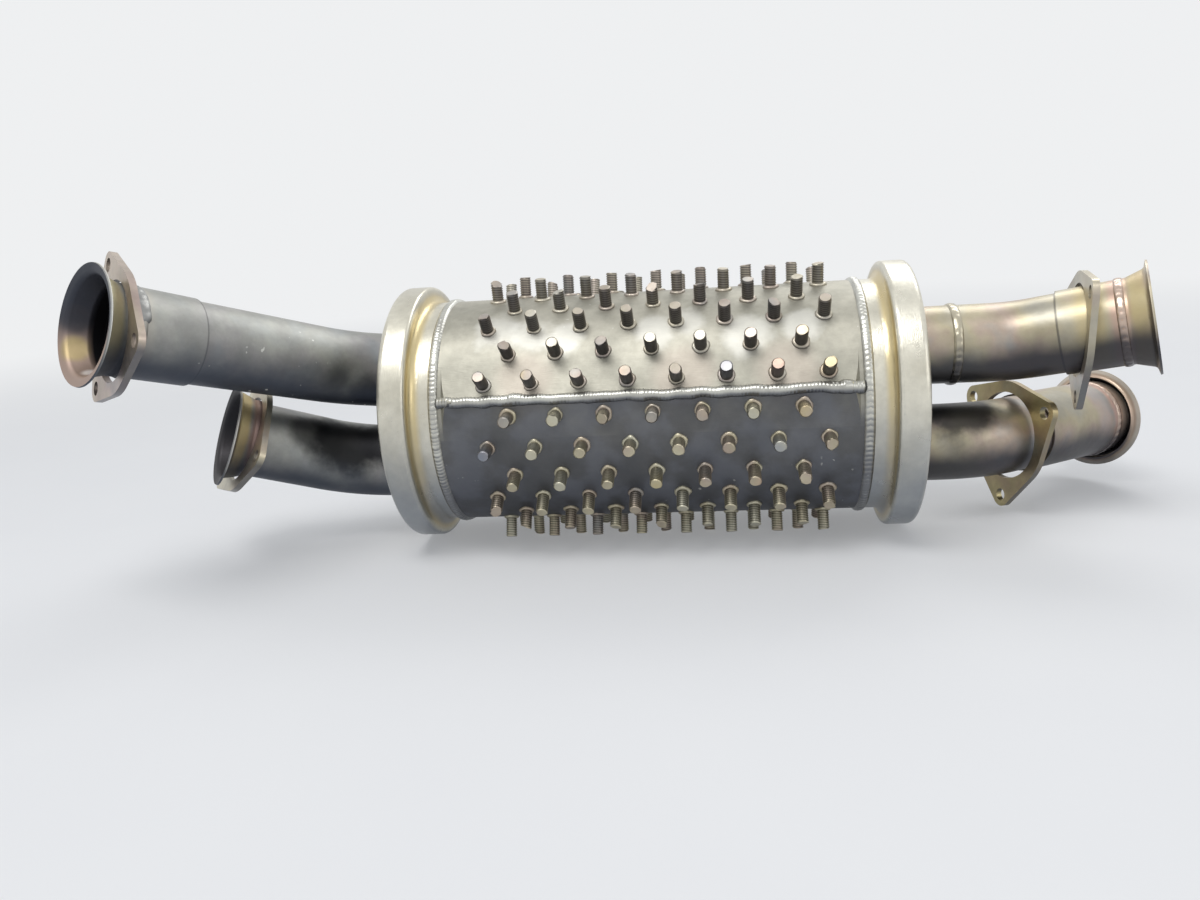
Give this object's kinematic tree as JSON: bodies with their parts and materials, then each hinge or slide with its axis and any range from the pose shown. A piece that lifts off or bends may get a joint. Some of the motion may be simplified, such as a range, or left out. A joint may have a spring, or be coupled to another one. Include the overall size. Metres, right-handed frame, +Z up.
{
  "type": "exhaust muffler",
  "caption": "Round exhaust muffler can with heat-transfer studs, wide shroud rims, flared inlet pipes with loose flanges and an outlet stub.",
  "frame": {"origin": "on the ground under the middle of the bounding box", "axes": "+X along the can to its right end, +Y away from the welded seam towards the outlet, +Z up"},
  "size_m": [0.5464, 0.2436, 0.1738],
  "materials": {
    "grey_stainless": "matt, heat dulled",
    "bright_stainless": "satin",
    "inner_stainless": "dull",
    "flange_steel": "satin, straw tint",
    "sooted_stainless": "matt, sooted",
    "tinted_stainless": "satin, heat tinted"
  },
  "bodies": {
    "muffler": {"can_shell": "grey_stainless", "left_end_cap": "bright_stainless", "right_end_cap": "bright_stainless", "upper_studs": "grey_stainless", "lower_studs": "grey_stainless", "core_tube": "inner_stainless", "left_baffle": "inner_stainless", "right_baffle": "inner_stainless", "outlet_stub": "inner_stainless", "left_upper_pipe": "sooted_stainless", "left_upper_sleeve": "sooted_stainless", "left_upper_flared_end": "sooted_stainless", "left_lower_pipe": "sooted_stainless", "left_lower_flared_end": "sooted_stainless", "right_upper_pipe": "tinted_stainless", "right_upper_stub": "tinted_stainless", "right_upper_sleeve": "tinted_stainless", "right_upper_flared_end": "tinted_stainless", "right_lower_pipe": "tinted_stainless", "right_lower_sleeve": "tinted_stainless", "right_lower_flared_end": "tinted_stainless"},
    "left_upper_flange": {"left_upper_flange": "flange_steel"},
    "left_lower_flange": {"left_lower_flange": "flange_steel"},
    "right_upper_flange": {"right_upper_flange": "flange_steel"},
    "right_lower_flange": {"right_lower_flange": "flange_steel"}
  },
  "joints": [
    {"name": "left_upper_flange_slide", "type": "slide", "parent": "muffler", "child": "left_upper_flange", "axis": [0.5284, 0.7936, -0.3015], "range_m": [-0.0015, 0.06]},
    {"name": "left_lower_flange_slide", "type": "slide", "parent": "muffler", "child": "left_lower_flange", "axis": [0.7683, 0.5224, -0.3699], "range_m": [-0.0018, 0.05]},
    {"name": "right_upper_flange_slide", "type": "slide", "parent": "muffler", "child": "right_upper_flange", "axis": [-0.9164, 0.3535, -0.188], "range_m": [-0.0095, 0.0015]},
    {"name": "right_lower_flange_slide", "type": "slide", "parent": "muffler", "child": "right_lower_flange", "axis": [-0.7604, -0.647, 0.0566], "range_m": [-0.071, 0.021]}
  ]
}
